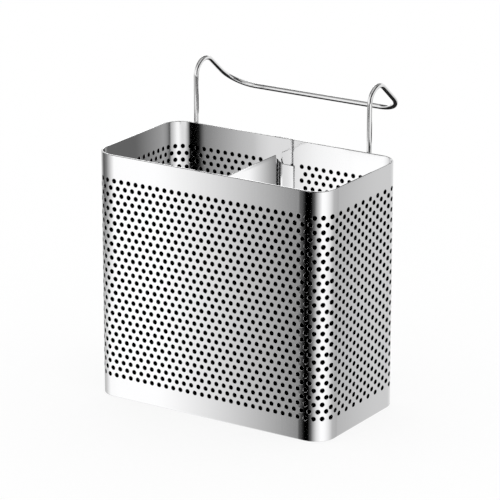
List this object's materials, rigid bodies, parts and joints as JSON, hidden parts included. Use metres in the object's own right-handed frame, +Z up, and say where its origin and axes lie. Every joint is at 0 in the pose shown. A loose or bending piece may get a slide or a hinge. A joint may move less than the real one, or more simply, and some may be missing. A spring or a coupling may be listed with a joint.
{
  "type": "utensil holder",
  "caption": "Rectangular perforated steel cutlery basket with rounded corners, a divider, a drained base and a bent-wire hanger behind.",
  "frame": {"origin": "middle of the foot, on the surface that the basket stands on", "axes": "+Z up; the broad front faces -Y; the hanger stands behind the back wall, at +Y"},
  "size_m": [0.16, 0.1295, 0.1903],
  "materials": {
    "wall_sheet": "satin stainless sheet with a fine upright grain",
    "pan_sheet": "mill-finish stainless sheet",
    "divider_sheet": "satin stainless sheet",
    "hanger_wire": "bright drawn stainless wire",
    "weld_metal": "cleaned spot of weld metal"
  },
  "bodies": {
    "root": {"wall_front": "wall_sheet", "wall_left": "wall_sheet", "wall_right": "wall_sheet", "wall_back_left": "wall_sheet", "wall_back_right": "wall_sheet", "corner_front_left": "wall_sheet", "corner_front_right": "wall_sheet", "corner_back_left": "wall_sheet", "corner_back_right": "wall_sheet", "base_pan": "pan_sheet", "divider": "divider_sheet", "hanger_wire": "hanger_wire", "hanger_welds": "weld_metal"}
  },
  "joints": []
}
